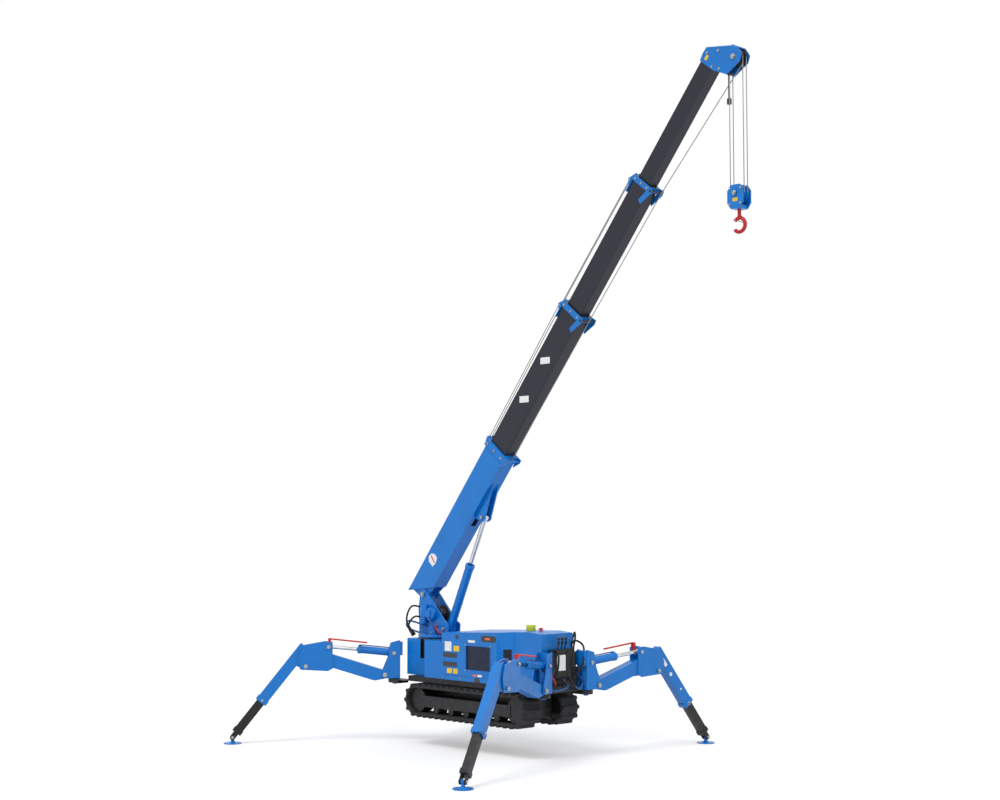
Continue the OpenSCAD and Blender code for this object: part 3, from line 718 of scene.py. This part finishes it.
def rear_trim():
    black = Shape()
    black.box(862, 868, -84, 45, 654, 666).box(862, 868, -84, 45, 820, 832)
    black.box(862, 868, -84, -72, 654, 832).box(862, 868, 33, 45, 654, 832)
    for k in range(5):
        black.turned([(0, 15), (10, 15), (12, 10), (26, 10), (28, 6)], (862, -120 + 58 * k, 625), (1, 0, 0), 16)
        black.turned([(0, 11), (12, 11), (16, 7)], (866, -100 + 50 * k, 575), (1, 0, 0), 16)
    black.turned([(0, 20), (4, 24), (116, 24), (122, 18), (132, 12)], (846, 128, 700), (0, 0, 1), 24)
    black.piece("valve_fittings", "carrier", LOOKS["black_paint"], 0.8)
    plate = Shape().extrude([(864, y, z) for y, z in round_rect(-20, 743, 92, 120, 6)], (2.4, 0, 0))
    plate.piece("rear_plate", "carrier", LOOKS["white_vinyl"], 0.3)
    loops = (("hose_black", ((868, -120, 625), (930, -128, 690), (915, -100, 800), (862, -70, 840))),
             ("hose_black", ((868, -62, 625), (940, -40, 600), (935, 60, 560), (868, 54, 625))),
             ("hose_black", ((868, 112, 625), (925, 150, 720), (890, 200, 860), (820, 165, 900), (780, 150, 800))),
             ("hose_black", ((846, 128, 832), (850, 150, 930), (800, 190, 960), (770, 178, 840))),
             ("hose_blue", ((868, -4, 625), (920, -10, 560), (900, -140, 540), (830, -178, 600), (780, -178, 640))),
             ("hose_blue", ((866, 100, 575), (915, 130, 540), (880, 200, 600), (800, 176, 660))),
             ("hose_red", ((866, -100, 575), (905, -130, 600), (880, -172, 680), (806, -176, 720))))
    for k, (look, path) in enumerate(loops):
        hose = Shape().hose(path, 8, 10, 5)
        for end, near in ((path[0], path[1]), (path[-1], path[-2])):
            away = (Vector(near) - Vector(end)).normalized()
            hose.turned([(-4, 11), (14, 11), (16, 9), (26, 9)], end, away, 12)
        hose.piece(f"rear_hose_{k}", "carrier", LOOKS[look])
    knobs = Shape()
    for k in range(3):
        knobs.turned([(0, 7), (10, 9), (26, 9), (30, 6)], (841 + 12, -40 + 40 * k, 880), (0.2, 0, 1), 16)
    knobs.piece("lever_boots", "carrier", LOOKS["hose_black"], 0.5)


def column_trim():
    loops = (("hose_black", ((-40, -72, 1010), (-120, -150, 1040), (-170, -180, 960), (-150, -150, 880))),
             ("hose_black", ((-90, -72, 1110), (-190, -130, 1120), (-230, -150, 1000), (-150, -130, 890))),
             ("hose_blue", ((-60, -72, 960), (-210, -140, 1000), (-260, -110, 940), (-150, -60, 896))),
             ("hose_blue", ((-10, -72, 1000), (60, -170, 1040), (120, -150, 960), (100, -100, 894))),
             ("hose_red", ((60, -72, 960), (110, -130, 960), (140, -110, 910), (120, -60, 894))))
    for k, (look, path) in enumerate(loops):
        hose = Shape(COLUMN).hose(path, 8, 10, 5)
        for end, near in ((path[0], path[1]), (path[-1], path[-2])):
            away = (Vector(near) - Vector(end)).normalized()
            hose.turned([(-4, 11), (14, 11), (16, 9), (26, 9)], end, away, 12)
        hose.piece(f"column_hose_{k}", "column", LOOKS[look])
    bolts = Shape(COLUMN)
    for side in (-1, 1):
        bolts.bolt((155, side * 76, 945), (0, side, 0), 14).bolt((-104, side * 80, 1222), (0, side, 0), 18)
        for x, z in ((-120, 920), (0, 905), (100, 905), (180, 930)):
            bolts.bolt((x, side * 70, z), (0, side, 0), 8)
    for k in range(16):
        a = 2 * math.pi * k / 16
        bolts.bolt((150 * math.cos(a), 150 * math.sin(a), 894), (0, 0, 1), 7)
    bolts.piece("column_bolts", "column", LOOKS["zinc"])


def leg_trim(leg):
    post = post_frame(leg)
    for body, spots in ((f"post_{leg}", ((85, 556, 62, 17), (10, 735, 62, 14))),
                        (f"arm_{leg}", ((743, 632, 58, 15), (555, 790, 56, 14)))):
        caps = Shape(post)
        for r, z, y, size in spots:
            for side in (-1, 1):
                caps.bolt((r, side * y, z), (0, side, 0), size)
        caps.piece(f"pin_caps_{body}", body, LOOKS["zinc"])
    bar = Shape(post).hose([(557, 46, 858), (500, 46, 852), (400, 46, 841), (235, 46, 823)], 7, 10, 3)
    bar.box(535, 560, 20, 50, 800, 862)
    bar.piece(f"lock_bar_{leg}", f"lift_rod_{leg}", LOOKS["red_vinyl"], 0.8)
    pipe = Shape(post).hose([(30, 0, 762), (46, 0, 776), (150, 0, 788), (285, 0, 801), (300, 0, 796)], 5, 8, 4)
    pipe.turned([(0, 9), (14, 9)], (46, 0, 764), (-0.1, 0, 1), 12).turned([(0, 9), (14, 9)], (290, 0, 786), (-0.1, 0, 1), 12)
    pipe.piece(f"oil_pipe_{leg}", f"lift_barrel_{leg}", LOOKS["hose_blue"])
    side_frame = leg_frame(leg)
    spot = Shape(side_frame).plate(disc(250, -8, 16), -37.6, -36).plate(disc(420, 4, 9), -37.6, -36)
    spot.plate(round_rect(130, -4, 70, 30, 5), -37.6, -36)
    spot.piece(f"leg_marks_{leg}", f"leg_{leg}", LOOKS["white_vinyl"], 0.3)
    pins = Shape(side_frame).rod((SLEEVE - 22, -48, 0), (SLEEVE - 22, 48, 0), 8)
    pins.ring((SLEEVE - 22, -54, -12), (0, 1, 0), 14, 2.2, 20, 8)
    pins.bolt((SLEEVE - 22, 48, 0), (0, 1, 0), 9)
    pins.piece(f"leg_pin_{leg}", f"leg_{leg}", LOOKS["zinc"])
    foot = Shape(side_frame)
    for side in (-1, 1):
        foot.bolt((SLEEVE + LEG_OUT + 62, side * 25.5, 0), (0, side, 0), 10)
    foot.piece(f"ankle_caps_{leg}", f"inner_leg_{leg}", LOOKS["zinc"])


camera()
stage()
dress_nodes()
boom_trim()
head_trim()
hook_trim()
hood_trim()
rear_trim()
column_trim()
for leg_name in LEGS:
    leg_trim(leg_name)
